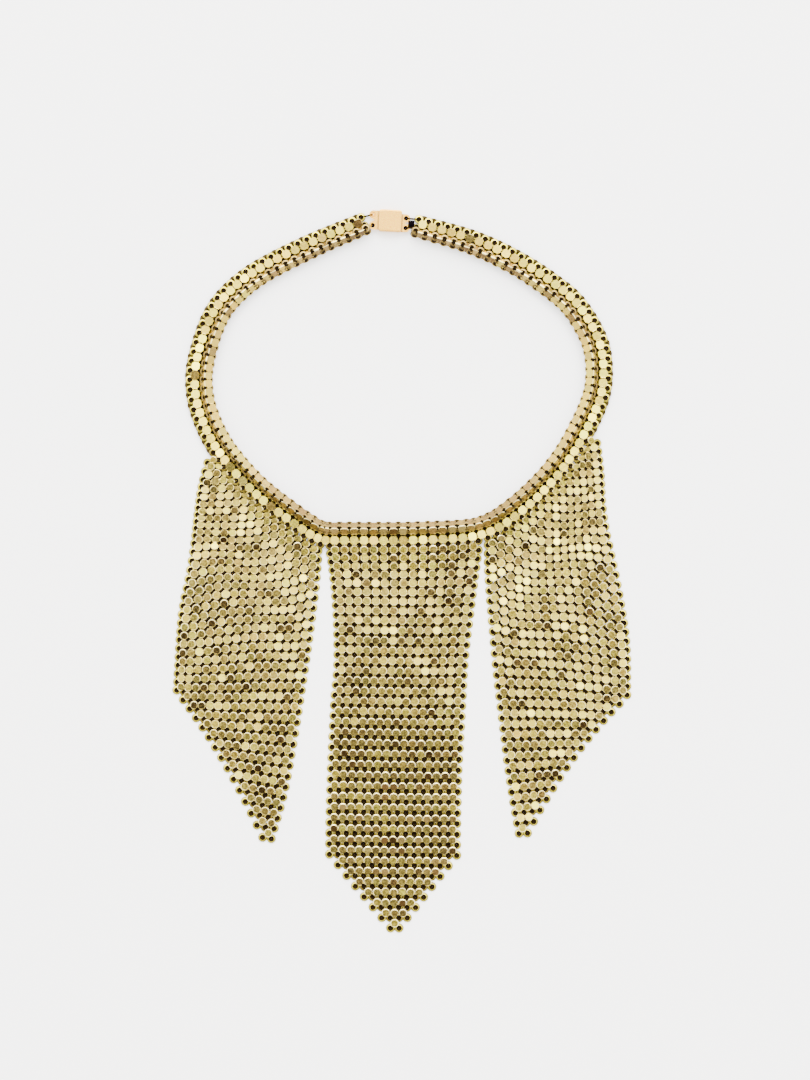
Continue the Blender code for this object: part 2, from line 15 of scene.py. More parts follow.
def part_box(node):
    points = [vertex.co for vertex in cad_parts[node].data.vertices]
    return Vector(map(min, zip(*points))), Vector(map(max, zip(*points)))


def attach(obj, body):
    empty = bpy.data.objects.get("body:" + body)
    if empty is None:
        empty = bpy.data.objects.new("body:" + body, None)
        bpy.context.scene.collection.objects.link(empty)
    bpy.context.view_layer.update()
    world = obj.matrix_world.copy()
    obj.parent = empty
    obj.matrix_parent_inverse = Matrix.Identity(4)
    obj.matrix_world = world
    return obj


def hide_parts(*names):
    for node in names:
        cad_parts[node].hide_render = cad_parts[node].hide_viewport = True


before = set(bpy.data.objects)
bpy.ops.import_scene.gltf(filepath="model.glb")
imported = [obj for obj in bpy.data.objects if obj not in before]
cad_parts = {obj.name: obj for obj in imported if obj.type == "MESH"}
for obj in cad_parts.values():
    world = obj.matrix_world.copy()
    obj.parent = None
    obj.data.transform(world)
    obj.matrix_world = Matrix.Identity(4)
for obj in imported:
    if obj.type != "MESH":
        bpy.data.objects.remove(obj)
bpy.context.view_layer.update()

# Picture
IMAGE_HEIGHT_PX = 1080
METRES_PER_PIXEL = 0.0003684
CAMERA_HEIGHT = 1.0
CAMERA_OVER = (0.00122, 0.01100)     # the picture's middle, on the surface
SENSOR_MM = 36.0                     # along the picture's height

# Light
SKY_NEAR = 3.1
SKY_FAR = 5.2
CEILING_NEAR = 0.55
CEILING_FAR = 10.0
CEILING_SPAN = (-0.08, 0.50)         # from near to far, along Y
OVERHEAD_SPAN = (0.62, 0.90)         # from the walls to the ceiling, along Z
SKY_COLOUR = (1.0, 0.98, 0.95, 1.0)
LAMPS = [                            # name, place, size across and up, power; all aimed at the origin
    ("far_light", (0.0, 1.3, 1.1), (1.6, 0.9), 60.0),
    ("near_fill", (0.2, -1.2, 0.9), (1.2, 0.8), 10.0),
]
FLOOR_SIZE = 6.0
FLOOR_COLOUR = (0.92, 0.92, 0.92, 1.0)
FLOOR_ROUGHNESS = 0.9
FLOOR_GLOW = 1.0

# Mesh, as in the part's source
PLATE_PITCH = 0.0035
MESH_THICKNESS = 0.0010
LAYER_GAP = 0.0003
SEAM_GAP = 0.0003
COLUMNS = 15
SIDE_ROWS = 29
CENTRE_ROWS = 31
SLIT_PLATES = 1
LEFT_STRAP_PLATES = 34
RIGHT_STRAP_PLATES = 33
OUTLINE_MIDDLE = (0.019, -0.090)

# Outer ring line of the band: plates counted from the clasp, then across and up in plate pitches
COLLAR_ROUTE = [
    (0, -4.26, 36.95), (6, -9.95, 34.63), (12, -15.53, 31.79), (16, -18.68, 29.26), (19, -20.47, 26.74),
    (23, -21.84, 22.84), (26, -22.26, 19.89), (29, -21.84, 16.74), (33, -20.26, 13.05), (37, -18.07, 10.03),
    (41, -15.21, 7.12), (45, -11.99, 4.68), (47, -10.28, 3.51), (49, -8.53, 2.60), (51, -6.52, 2.53),
    (57.5, 0.20, 2.53), (63, 5.95, 2.74), (65, 8.07, 2.99), (67, 10.04, 3.71), (69, 11.80, 4.80),
    (73, 15.02, 7.54), (77, 17.78, 10.81), (81, 19.84, 14.32), (85, 21.42, 18.00), (88, 21.74, 21.05),
    (91, 21.21, 24.21), (95, 19.11, 27.89), (98, 16.89, 30.00), (103, 12.58, 32.84), (108, 7.84, 35.05),
    (114, 1.84, 36.74),
]

# Share of the way round the band, then the run of its flat, climbing and falling rows
BAND_ROWS = [
    (0.00, 0.90, 0.44, 0.64), (0.10, 0.93, 0.46, 0.70), (0.21, 0.98, 0.48, 0.88), (0.35, 0.98, 0.50, 0.84),
    (0.43, 0.98, 0.76, 0.71), (0.58, 0.98, 0.76, 0.71), (0.66, 0.98, 0.50, 0.84), (0.79, 0.98, 0.48, 0.88),
    (0.90, 0.93, 0.46, 0.70), (1.00, 0.90, 0.44, 0.64),
]

# Share of a panel's rows, then the step sideways and down from one plate of a column to the next
LEFT_OUTER_RUN = [
    (0.05, -0.245, 0.755), (0.17, -0.130, 0.763), (0.33, -0.063, 0.779), (0.47, -0.140, 1.000),
    (0.59, -0.210, 0.987), (0.73, -0.063, 0.934), (0.88, -0.076, 0.867),
]
LEFT_INNER_RUN = [
    (0.03, -0.050, 1.030), (0.17, -0.130, 1.044), (0.38, -0.160, 1.035), (0.57, -0.180, 1.120),
    (0.75, -0.190, 1.074), (0.90, -0.290, 1.066),
]
RIGHT_OUTER_RUN = [
    (0.05, 0.144, 0.814), (0.24, 0.042, 0.853), (0.43, 0.218, 1.028), (0.58, 0.193, 1.054),
    (0.74, 0.126, 0.976), (0.88, 0.008, 0.926),
]
RIGHT_INNER_RUN = [
    (0.05, 0.010, 1.028), (0.17, 0.082, 1.050), (0.34, 0.093, 1.051), (0.53, 0.133, 1.074),
    (0.70, 0.126, 1.095), (0.88, 0.194, 1.116),
]
CENTRE_LEFT_RUN = [
    (0.04, 0.116, 0.877), (0.13, 0.079, 0.947), (0.22, 0.035, 1.050), (0.30, 0.000, 1.107),
    (0.38, -0.116, 1.060), (0.43, -0.045, 1.080), (0.63, -0.038, 1.127), (0.90, 0.015, 1.089),
]
CENTRE_RIGHT_RUN = [
    (0.04, -0.120, 0.920), (0.13, -0.130, 0.990), (0.22, -0.120, 1.092), (0.30, -0.090, 1.107),
    (0.38, -0.030, 1.060), (0.43, -0.045, 1.080), (0.55, -0.050, 1.127), (0.90, 0.020, 1.089),
]
FIRST_ROW_DROP = 0.45
ROW_LIFTS = (1.0, 0.55, 0.2)

TAPER_ROWS = COLUMNS // 2
CENTRE_PANEL_START = LEFT_STRAP_PLATES + COLUMNS + SLIT_PLATES
RIGHT_PANEL_START = CENTRE_PANEL_START + COLUMNS + SLIT_PLATES
RIGHT_PANEL_END = RIGHT_PANEL_START + COLUMNS
BAND_PLATES = RIGHT_PANEL_END + RIGHT_STRAP_PLATES
UPPER_LAYER_Z = MESH_THICKNESS + LAYER_GAP

# How far the mesh has settled from the part's plain sheets, in pitches. Share of a panel's rows, then
# its outer and its inner edge, each sideways and up; the centre panel's are its left and its right edge.
LEFT_SETTLE = [
    (0.00, -0.15, 0.50, -0.50, 0.10), (0.10, -0.15, 0.10, -0.52, 0.40), (0.25, -0.10, 0.15, -0.52, 0.35),
    (0.42, -0.12, 0.40, -0.50, 0.15), (0.60, -0.15, 0.55, -0.47, 0.10), (0.82, -0.20, 0.80, -0.50, -0.12),
    (1.00, -0.12, 0.70, -0.60, -0.20),
]
RIGHT_SETTLE = [
    (0.00, 0.28, 0.50, 0.25, 0.05), (0.12, 0.20, 0.30, 0.25, 0.45), (0.30, 0.12, 0.28, 0.26, 0.42),
    (0.42, 0.10, 0.30, 0.28, 0.13), (0.61, 0.15, 0.33, 0.32, -0.18), (0.72, 0.19, 0.36, 0.35, -0.23),
    (0.85, 0.20, 0.43, 0.38, -0.28), (1.00, 0.20, 0.30, 0.33, -0.15),
]
CENTRE_SETTLE = [
    (0.00, 0.00, 0.00, 0.00, 0.00), (0.20, 0.00, 0.10, 0.05, 0.10), (0.38, 0.00, 0.25, -0.05, 0.25),
    (0.60, -0.10, 0.20, -0.20, 0.15), (0.80, -0.10, 0.10, -0.20, 0.05), (1.00, 0.00, 0.00, -0.10, 0.00),
]
# Share of a side panel's rows, then how far its middle column lies towards the inner edge and up
LEFT_BOWS = [
    (0.00, 0.20, 0.10), (0.15, 0.35, 0.30), (0.28, 0.46, 0.50), (0.40, 0.46, 0.80), (0.55, 0.46, 1.05),
    (0.68, 0.46, 1.05), (0.80, 0.42, 0.85), (0.90, 0.32, 0.75), (1.00, 0.20, 0.70),
]
RIGHT_BOWS = [
    (0.00, 0.20, 0.00), (0.15, 0.25, -0.30), (0.28, 0.32, -0.06), (0.40, 0.36, 0.52), (0.55, 0.45, 0.97),
    (0.68, 0.58, 1.03), (0.80, 0.58, 0.90), (0.90, 0.50, 0.80), (1.00, 0.40, 0.75),
]
# Share of the way round the band, then how far its flat, climbing and falling rows lie further in
BAND_SETTLE = [
    (0.00, 0.00, 0.00, 0.00), (0.06, 0.04, 0.09, 0.14), (0.36, 0.04, 0.09, 0.14), (0.42, 0.00, 0.00, 0.00),
    (0.58, 0.00, 0.00, 0.00), (0.64, 0.04, 0.09, 0.14), (0.94, 0.04, 0.09, 0.14), (1.00, 0.00, 0.00, 0.00),
]

# One plate, from its middle: to the middle of a side, and to the ends of a corner's short edge
PANEL_PLATE = (0.00153, 0.00157)
BAND_PLATE = (0.00160, 0.00180)
CORNER_HALF_TURN = math.radians(15)
PANEL_FACET = 0.84            # share of the plate's outline that the flat facet on top takes
BAND_FACET = 0.91
FACET_Z = 0.00100
RIM_Z = 0.00076
UNDER_SHARE = 0.90
UNDER_Z = 0.00062
FLANK_SHADE = 0.6            # painted shade between the rim and the underside
PRONG_THICKNESS = 0.00016
PRONG_BENDS = ((0.00205, 0.00046, 0.00048), (0.00240, 0.00012, 0.00012))   # out, up and half its width

# A plate is made smaller where its neighbours come closer than this share of the pitch
PANEL_ROOM = 0.90
BAND_ROOM = 0.94

# One ring: its wire, and a funnel standing for the prong ends hooked round it, which closes its hole from
# within and is painted dark as the shade in the hole
RING_PROFILE = [(0.00174, 0.00012), (0.00146, 0.00050), (0.00102, 0.00056), (0.00002, 0.00022),
                (0.00090, 0.00006)]                          # out from the middle and up
RING_SHADES = (0.75, 0.0, 1.0, 1.0, 0.75)                  # painted shade on each side of the profile: its outer slope and underside, and the funnel that closes its hole
RING_SEGMENTS = 12
SHARP_ANGLE = math.radians(20)

# Band: its climbing plates are pushed up to the ridge, and the ridge's rings lie under them
RIDGE_CROWDING = (0.0, 0.00030, -0.00004)   # further in: plates of the flat, climbing and falling rows
RIDGE_RING_DROP = 0.00085
CREASE_RING_DROP = 0.00030    # rings between the flat and the climbing row
CLIMBING_GROWTH = 1.10        # plates of the climbing row show this much more of their height
FOLD_TUCK = 0.00040           # the hem starts this far inside the neck edge
FOLD_RING_TUCK = 0.00168      # rings of the neck edge lie this far under the plates

# Clasp: its middle from the tongue's end and the box's far side, and the middles of its lug holes
CLASP_TURN = math.radians(-3.0)
CLASP_FROM_TONGUE_END = 0.007946
CLASP_FROM_BOX_SIDE = 0.004171
LUG_HOLES = [(-0.00635, 0.0020, 0.0016), (-0.00635, -0.0020, 0.0016), (0.00580, 0.0012, 0.0016),
             (0.00580, -0.0024, 0.0016)]
CLASP_END_LINE = (0.0039, 0.0042, 0.0045, 0.0049)   # painted shade from and full, then full to and gone
CLASP_SIDE_LINE = (0.0036, 0.0040)
CLASP_SHADE = 0.42
# near-black linings in three of the lug holes paint the shade in them; the plug in the fourth is gold
LINING_RADIUS = 0.00047       # to the middle of the wire
LINING_WIRE = 0.00043
PLUG_RADIUS = 0.00050
PLUG_WIRE = 0.00036
# near-black coil between the box and the band's right end, a dark piece that paints the shade in the gap
# there
SHADE_COIL_SEAT = (0.0078, -0.0008, 0.00148)   # its middle, from the clasp's
WOUND_TURNS = 5
WOUND_RADIUS = 0.00112
WOUND_WIRE = 0.00028
WOUND_STEP = 0.00047          # the turns touch
HOOP_SEGMENTS = 18
WIRE_SIDES = 6

# Hem under the band
HEM_ROWS = 3
HEM_RING_OUT = 0.06           # its last rings stand out past the strap's ring line, in pitches
HEM_RING_IN = 0.62            # or lie in from it under the bib

# How the plates lie: share of the way down a panel, then the rise of their lower edges in degrees
SIDE_TILTS = [(0.00, 3.0), (0.25, 2.0), (0.45, 1.0), (0.65, 0.0), (1.00, 0.5)]
CENTRE_TILTS = [(0.00, 2.0), (0.20, 2.0), (0.38, 0.5), (0.52, -3.5), (0.75, -6.0), (1.00, -3.0)]
LOOSE_TILT = math.radians(3.0)
DRAPE_TILT = math.radians(3.0)
GLANCE_TILT = math.radians(16.0)     # from a plate of tone 0 to one of tone 1, towards the far light
GLANCE_LEVEL = 0.6            # the tone of a plate that doesn't lean
DRAPE_SCALE = 55.0            # waves of the drape, per metre
DRAPE_APART = Vector((7.3, 2.1, 0.5))   # keeps the two waves of the drape apart
FLOOR_CLEARANCE = 0.00005

# How bright each plate is painted, 0 dark brown to 1 cream: share of the way down, then mean and spread. The
# spread is the plating's own tone, which differs at random; the centre panel's mean falls towards its lower
# rows, painted shade on the plates there
LEFT_TONES = [
    (0.00, 0.67, 0.29), (0.20, 0.65, 0.28), (0.50, 0.60, 0.26), (0.75, 0.60, 0.25), (1.00, 0.60, 0.28),
]
RIGHT_TONES = [
    (0.00, 0.70, 0.27), (0.20, 0.71, 0.25), (0.50, 0.71, 0.24), (0.75, 0.71, 0.24), (1.00, 0.69, 0.27),
]
CENTRE_TONES = [
    (0.00, 0.70, 0.22), (0.25, 0.61, 0.21), (0.42, 0.56, 0.22), (0.55, 0.45, 0.26), (0.80, 0.42, 0.28),
    (1.00, 0.56, 0.26),
]
# Share of the way round the band, then the flat, climbing and falling rows; each row is painted lighter or
# darker by how it faces the light, the climbing row darkest at the front, where it faces away from it
BAND_TONES = [
    (0.00, 0.68, 0.62, 0.14), (0.05, 0.70, 0.66, 0.18), (0.08, 0.76, 0.72, 0.54), (0.25, 0.90, 0.74, 0.66),
    (0.33, 0.88, 0.58, 0.56), (0.40, 0.82, 0.17, 0.32), (0.60, 0.82, 0.14, 0.30), (0.67, 0.88, 0.58, 0.56),
    (0.75, 0.90, 0.74, 0.66), (0.92, 0.76, 0.72, 0.54), (0.95, 0.70, 0.66, 0.18), (1.00, 0.68, 0.62, 0.14),
]
# And how warm, 0 greenish to 1 peachy; along the sides the climbing row is painted peachy, a painted
# reflection of the gold beside it
BAND_WARMTHS = [
    (0.00, 0.70, 0.90, 0.60), (0.20, 0.35, 0.95, 0.60), (0.42, 0.40, 0.35, 0.85), (0.58, 0.40, 0.35, 0.85),
    (0.80, 0.35, 0.95, 0.60), (1.00, 0.70, 0.90, 0.60),
]
BAND_SPREAD = 0.09
PANEL_WARMTH = 0.42
# Tone of each kind of ring, painted light and shade: bright on a free edge, darker inside a sheet, and
# darkest in the shade under the ridge, in the fold and in the hem below
RING_TONES = {"inside": 0.62, "edge": 0.92, "ridge": 0.25, "fold": 0.25, "hem": 0.26}
RING_WARMTH = 0.5
CLOUD_SCALE = 85.0            # clouds of tone over the mesh, per metre
CLOUD_SHARE = 0.55
FINE_CLOUD = 2.6              # how much finer the clouds of dark plates are
FINE_CLOUD_APART = Vector((3.1, 8.2, 0.0))
DARK_CLOUD = (0.31, 0.60, 0.42)   # where it starts, share of its plates that are darker, and by how much
WARMTH_SCALE = 140.0
WARMTH_CLOUD = 0.5
WARMTH_SPREAD = 0.16
TONE_SCATTER = 0.03

draw = random.Random(11)


def table_at(table, share):
    """Straight-line reading of a table whose first column is a share."""
    if share <= table[0][0]:
        return table[0][1:]
    for low, high in zip(table, table[1:]):
        if share <= high[0]:
            part = (share - low[0]) / (high[0] - low[0])
            return tuple(a + (b - a) * part for a, b in zip(low[1:], high[1:]))
    return table[-1][1:]


def route_slope(index):
    before = COLLAR_ROUTE[max(index - 1, 0)]
    after = COLLAR_ROUTE[min(index + 1, len(COLLAR_ROUTE) - 1)]
    return (Vector(after[1:]) - Vector(before[1:])) / (after[0] - before[0])


def ring_line(plates):
    """Place on the outer ring line and its heading, after a number of plates from the clasp."""
    index = 0
    while index < len(COLLAR_ROUTE) - 2 and COLLAR_ROUTE[index + 1][0] < plates:
        index += 1
    low, high = COLLAR_ROUTE[index], COLLAR_ROUTE[index + 1]
    span = high[0] - low[0]
    t = (plates - low[0]) / span
    start, end = Vector(low[1:]), Vector(high[1:])
    leave, arrive = route_slope(index) * span, route_slope(index + 1) * span
    place = (start * (2 * t**3 - 3 * t**2 + 1) + leave * (t**3 - 2 * t**2 + t)
             + end * (3 * t**2 - 2 * t**3) + arrive * (t**3 - t**2))
    heading = (start * (6 * t**2 - 6 * t) + leave * (3 * t**2 - 4 * t + 1)
               + end * (6 * t - 6 * t**2) + arrive * (3 * t**2 - 2 * t))
    return (place - Vector(OUTLINE_MIDDLE)) * PLATE_PITCH, heading.normalized()


def band_place(plates, inward):
    """Place beside the ring line: inward is towards the neck, in metres."""
    place, heading = ring_line(plates)
    return place + Vector((-heading.y, heading.x)) * inward


def column_places(start, run, rows):
    places = [start.copy()]
    for row in range(1, rows + 1):
        sideways, down = table_at(run, (row - 0.5) / rows)
        places.append(places[-1] + Vector((sideways, -down)) * PLATE_PITCH)
    return places


def between_rows(places, row):
    low = min(max(math.floor(row), 0), len(places) - 2)
    return places[low].lerp(places[low + 1], row - low)


class Panel:
    """How one panel lies: by the rules of the part's sheet, and then settled by its own tables."""

    def __init__(self, station, first_run, last_run, rows, tilts, settle, bows=None):
        self.station = station
        self.rows = rows
        self.sheared = bows is not None
        self.tilts = tilts
        self.settle = settle
        self.bows = bows
        self.first = column_places(self.hung(0), first_run, rows)
        self.last = column_places(self.hung(COLUMNS - 1), last_run, rows)

    def hung(self, column):
        shift = 0.5 if self.sheared else 0.0
        return band_place(self.station(column + shift), -FIRST_ROW_DROP * PLATE_PITCH)

    def place(self, column, row):
        share = column / (COLUMNS - 1)
        depth = (row - 1) / (self.rows - 1)
        settled = table_at(self.settle, depth)
        outer, inner = Vector(settled[:2]), Vector(settled[2:])
        sheet = between_rows(self.first, row - 1).lerp(between_rows(self.last, row - 1), share)
        sheet += outer.lerp(inner, share) * PLATE_PITCH
        if not 0 < share < 1:
            return sheet
        chord = self.hung(0).lerp(self.hung(COLUMNS - 1), share)
        hollow = (self.hung(column) - chord) * max(1 - depth, 0)
        if self.sheared:
            inward, up = table_at(self.bows, depth)
            inward = math.copysign(inward, self.last[0].x - self.first[0].x)
            hollow += Vector((inward, up)) * PLATE_PITCH * 4 * share * (1 - share)
        return sheet + hollow

    def steps_down(self, column, row):
        """Rows from the band's seam down to a ring; none for a ring of the band itself."""
        if row <= 0.5:
            return 0
        return max(row - column if self.sheared else row - 0.5, 0)

    def node(self, column, row):
        """Ring at a plate's corner, with its height above the surface."""
        steps = self.steps_down(column, row)
        if steps == 0:
            flat = band_place(self.station(column), -SEAM_GAP / 2)
        else:
            flat = self.place(column, steps if self.sheared else row)
        lift = ROW_LIFTS[round(steps)] if round(steps) < len(ROW_LIFTS) else 0.0
        return Vector((flat.x, flat.y, lift * UPPER_LAYER_Z))


def left_station(column):
    return LEFT_STRAP_PLATES + 0.5 + column


def centre_station(column):
    return CENTRE_PANEL_START + 0.5 + column


def right_station(column):
    return RIGHT_PANEL_END - 0.5 - column


def side_cells():
    """Plates of a side panel, as column, row of the mesh's own grid and share of the way down."""
    return [(column, column + row, (row - 1) / (SIDE_ROWS - 1))
            for column in range(COLUMNS) for row in range(1, SIDE_ROWS + 1)]


def centre_cells():
    cells = []
    rows = CENTRE_ROWS + TAPER_ROWS
    for row in range(1, rows + 1):
        lost = max(row - CENTRE_ROWS, 0)
        for column in range(lost, COLUMNS - lost):
            cells.append((column, row, (row - 1) / (rows - 1)))
    return cells


def square_frame(across, up):
    """Turn whose X and Y follow two directions that aren't quite square to each other."""
    normal = across.cross(up).normalized()
    x_axis = (across.normalized() + up.normalized().cross(normal)).normalized()
    return Matrix((x_axis, normal.cross(x_axis), normal)).transposed()


def looseness():
    """Small angles by which a single plate or ring lies out of line."""
    return Vector([draw.uniform(-LOOSE_TILT, LOOSE_TILT) for axis in range(3)])


def drape(place):
    """Slow waves in how neighbouring plates lean, and each plate's own looseness, as angles."""
    seat = Vector((place.x, place.y, 0.0)) * DRAPE_SCALE
    lean = Vector((noise.noise(seat), noise.noise(seat + DRAPE_APART), 0.0)) * DRAPE_TILT
    return lean + looseness()


def leaned(turn, lean, tone):
    """Turn of a plate that faces up: a bright one also leans to the far light."""
    glance = Matrix.Rotation((GLANCE_LEVEL - tone) * GLANCE_TILT, 3, "X")
    return glance @ turn @ Euler(lean).to_matrix()


def finish_at(place, mean, spread, warmth=PANEL_WARMTH):
    """Tone and warmth of one plate's plating."""
    cloud = noise.noise(place * CLOUD_SCALE) * 2
    fine = noise.noise(place * CLOUD_SCALE * FINE_CLOUD + FINE_CLOUD_APART)
    tone = mean + spread * (cloud * CLOUD_SHARE + draw.gauss(0.0, 1.0) * (1 - CLOUD_SHARE))
    start, chance, darker = DARK_CLOUD
    if fine > start and draw.random() < chance:
        tone -= darker
    warm = warmth + WARMTH_CLOUD * noise.noise(place * WARMTH_SCALE) + draw.gauss(0.0, WARMTH_SPREAD)
    return min(max(tone, 0.02), 1.0), min(max(warm, 0.0), 1.0)


class Lay:
    """Points of one mesh piece: where its plates and rings lie, how they are turned and their plating."""

    def __init__(self):
        self.places = []
        self.turns = []
        self.fits = []
        self.are_rings = []
        self.tones = []
        self.warmths = []

    def add(self, place, lowest, turn, is_ring, finish, fit=(1.0, 1.0, 1.0)):
        """Adds one stamp, raised where its lowest point would go through the floor."""
        rise = max(FLOOR_CLEARANCE - place.z - lowest, 0.0)
        self.places.append(place + Vector((0, 0, rise)))
        self.turns.append(turn.to_euler())
        self.fits.append(fit)
        self.are_rings.append(is_ring)
        self.tones.append(finish[0])
        self.warmths.append(finish[1])

    def add_plate(self, place, turn, finish, fit):
        reach, up = PRONG_BENDS[-1][0], PRONG_BENDS[-1][1] - PRONG_THICKNESS / 2
        slant = reach / math.sqrt(2)
        lowest = min((turn @ Vector((x, y, up))).z for x in (-slant, slant) for y in (-slant, slant))
        self.add(place, lowest, turn, False, finish, fit)

    def add_ring(self, place, turn, kind):
        turned = turn @ Euler(looseness()).to_matrix()
        upright = turned[2][2]
        lowest = RING_PROFILE[-1][1] * upright - RING_PROFILE[0][0] * math.sqrt(1 - min(upright, 1.0)**2)
        self.add(place, lowest, turned, True, (RING_TONES[kind], RING_WARMTH))


def plate_fit(across, up, room):
    """Size of a plate whose neighbours lie at two steps, across and up."""
    return (min(across.length / PLATE_PITCH / room, 1.0), min(up.length / PLATE_PITCH / room, 1.0), 1.0)


def lay_panel(panel, cells, tones):
    """Plates of a panel, and then each ring once, however many plates hold it."""
    lay = Lay()
    rings = {}
    for column, row, share in cells:
        corners = {(side, down): panel.node(column + side, row + down)
                   for side in (-0.5, 0.5) for down in (-0.5, 0.5)}
        middle = sum(corners.values(), Vector()) / 4
        across = corners[0.5, -0.5] + corners[0.5, 0.5] - corners[-0.5, -0.5] - corners[-0.5, 0.5]
        up = corners[-0.5, -0.5] + corners[0.5, -0.5] - corners[-0.5, 0.5] - corners[0.5, 0.5]
        if across.cross(up).z < 0:
            across = -across
        turn = square_frame(across, up)
        lean = drape(middle)
        lean.x -= math.radians(table_at(panel.tilts, share)[0])
        finish = finish_at(middle, *table_at(tones, share))
        fit = plate_fit(across / 2, up / 2, PANEL_ROOM)
        lay.add_plate(middle, leaned(turn, lean, finish[0]), finish, fit)
        for (side, down), corner in corners.items():
            key = (column + side, row + down)
            if panel.steps_down(*key) > 0:
                rings.setdefault(key, []).append((corner, turn))
    for held in rings.values():
        corner, turn = held[0]
        lay.add_ring(corner, turn, "inside" if len(held) > 2 else "edge")
    return lay


def band_nodes(plates):
    """Ring places across the band at one station: upper rows from the ring line to the neck, and the hem."""
    on_bib = LEFT_STRAP_PLATES <= plates <= RIGHT_PANEL_END
    flat, middle, inner = (run * PLATE_PITCH for run in table_at(BAND_ROWS, plates / BAND_PLATES))
    climb = math.sqrt(PLATE_PITCH**2 - middle**2)
    fall = math.sqrt(PLATE_PITCH**2 - inner**2)
    neck = flat + middle + inner
    upper = [(0.0, UPPER_LAYER_Z), (flat, UPPER_LAYER_Z), (flat + middle, UPPER_LAYER_Z + climb),
             (neck, UPPER_LAYER_Z + climb - fall)]
    last = (HEM_RING_IN if on_bib else -HEM_RING_OUT) * PLATE_PITCH
    hem = [(neck + (last - neck) * row / HEM_ROWS, MESH_THICKNESS) for row in range(HEM_ROWS + 1)]
    hem[0] = (neck - FOLD_TUCK, (MESH_THICKNESS + upper[-1][1]) / 2)
    return upper, hem


def band_point(plates, spot):
    inward, up = spot
    flat = band_place(plates, inward)
    return Vector((flat.x, flat.y, up))


def band_ring_kind(layer, index, on_bib):
    if layer == 1:
        return "hem"
    if index == 0:
        return "inside" if on_bib else "edge"
    return ("inside", "inside", "ridge", "fold")[index]


def level(way):
    """The same way along the surface, one metre long."""
    return Vector((way.x, way.y, 0.0)).normalized()


def lay_band_ring(lay, station, layer, index):
    nodes = band_nodes(station)[layer]
    here = band_point(station, nodes[index])
    before = band_point(station, nodes[max(index - 1, 0)])
    after = band_point(station, nodes[min(index + 1, len(nodes) - 1)])
    ahead = band_point(min(station + 0.5, BAND_PLATES), nodes[index])
    along = ahead - band_point(max(station - 0.5, 0), nodes[index])
    kind = band_ring_kind(layer, index, LEFT_STRAP_PLATES <= station <= RIGHT_PANEL_END)
    across = (after - before).normalized()
    if layer == 0 and index > 1:
        here += level(across) * table_at(BAND_SETTLE, station / BAND_PLATES)[index - 1] * PLATE_PITCH
    if layer == 0 and index in (1, 2):
        here.z -= (CREASE_RING_DROP, RIDGE_RING_DROP)[index - 1]
    elif kind == "fold":
        here -= across * FOLD_RING_TUCK
    lay.add_ring(here, square_frame(along, across), kind)


def lay_band_plate(lay, station, layer, index):
    nodes, ahead = band_nodes(station)[layer], band_nodes(station + 1)[layer]
    corners = [band_point(station, nodes[index]), band_point(station, nodes[index + 1]),
               band_point(station + 1, ahead[index]), band_point(station + 1, ahead[index + 1])]
    middle = sum(corners, Vector()) / 4
    inward = corners[1] + corners[3] - corners[0] - corners[2]
    along = corners[2] + corners[3] - corners[0] - corners[1]
    turn = square_frame(along, inward)
    share = (station + 0.5) / BAND_PLATES
    fit = plate_fit(along / 2, inward / 2, BAND_ROOM)
    # the hem's plates take the hem rings' dark tone, painted shade for the layer below
    if layer == 1:
        lay.add_plate(middle, turn, (RING_TONES["hem"], RING_WARMTH), fit)
    else:
        middle += inward.normalized() * RIDGE_CROWDING[index]
        if index == 1:
            fit = (fit[0], fit[1] * CLIMBING_GROWTH, fit[2])
        middle += level(inward) * table_at(BAND_SETTLE, share)[index] * PLATE_PITCH
        normal = turn @ Vector((0, 0, FACET_Z))
        middle -= Vector((normal.x, normal.y, 0.0))
        tone, warmth = table_at(BAND_TONES, share)[index], table_at(BAND_WARMTHS, share)[index]
        finish = finish_at(middle, tone, BAND_SPREAD, warmth)
        lay.add_plate(middle, leaned(turn, drape(middle), finish[0]), finish, fit)


def lay_band(first, last):
    """Upper rows and hem of the band between two stations; the hem's plates lie half a plate further on."""
    lay = Lay()
    for layer, shift in ((0, 0.0), (1, 0.5)):
        for step in range(last - first + 1):
            station = first + step + shift
            if station <= BAND_PLATES and (step < last - first or last == BAND_PLATES):
                for index in range(layer, 4):
                    lay_band_ring(lay, station, layer, index)
            if step < last - first and station + 1 <= BAND_PLATES:
                for index in range(3):
                    lay_band_plate(lay, station, layer, index)
    return lay


def new_object(name, data):
    thing = bpy.data.objects.new(name, data)
    bpy.context.scene.collection.objects.link(thing)
    return thing


def points_mesh(name, lay):
    """Object whose points carry what the Geometry Nodes tree reads."""
    mesh = bpy.data.meshes.new(name)
    mesh.from_pydata([tuple(place) for place in lay.places], [], [])
    for title, triples in (("turned", lay.turns), ("fitted", lay.fits)):
        layer = mesh.attributes.new(title, "FLOAT_VECTOR", "POINT")
        layer.data.foreach_set("vector", [value for triple in triples for value in triple])
    for title, kind, values in (("is_ring", "BOOLEAN", lay.are_rings), ("tone", "FLOAT", lay.tones),
                                ("warmth", "FLOAT", lay.warmths)):
        layer = mesh.attributes.new(title, kind, "POINT")
        layer.data.foreach_set("value", values)
    return new_object(name, mesh)


def finished_object(name, bm):
    """Plain smooth-shaded object from a bmesh, with its sharper edges kept."""
    mesh = bpy.data.meshes.new(name)
    bm.to_mesh(mesh)
    bm.free()
    mesh.shade_smooth()
    mesh.set_sharp_from_angle(angle=SHARP_ANGLE)
    return new_object(name, mesh)


